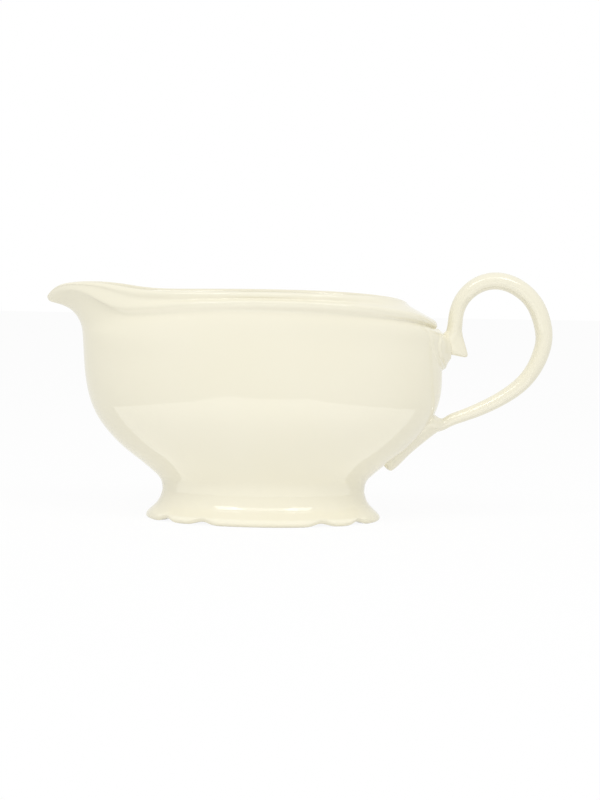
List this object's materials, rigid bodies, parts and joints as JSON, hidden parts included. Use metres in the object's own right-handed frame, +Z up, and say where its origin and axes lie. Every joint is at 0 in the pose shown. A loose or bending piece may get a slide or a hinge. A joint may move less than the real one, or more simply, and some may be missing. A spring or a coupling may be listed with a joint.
{
  "type": "gravy boat",
  "caption": "Footed oval gravy boat in glazed porcelain, with a drawn-out pouring lip, a looped handle with a thumb spur, leaf-shaped handle joints and a lobed foot.",
  "frame": {"origin": "centre of the foot's flat resting ring, on the table", "axes": "+Z up; -X towards the pouring lip, +X towards the handle; the boat is symmetric about the XZ plane"},
  "size_m": [0.2221, 0.0856, 0.11],
  "materials": {
    "cream_glaze": "glossy cream glaze over white porcelain",
    "slip_glaze": "joint slip fired with the piece and covered by the same cream glaze"
  },
  "bodies": {
    "root": {"foot": "cream_glaze", "foot_joint_slip": "slip_glaze", "bowl": "cream_glaze", "upper_leaf": "cream_glaze", "lower_leaf": "cream_glaze", "handle": "cream_glaze", "upper_joint_slip": "slip_glaze", "lower_joint_slip": "slip_glaze"}
  },
  "joints": []
}
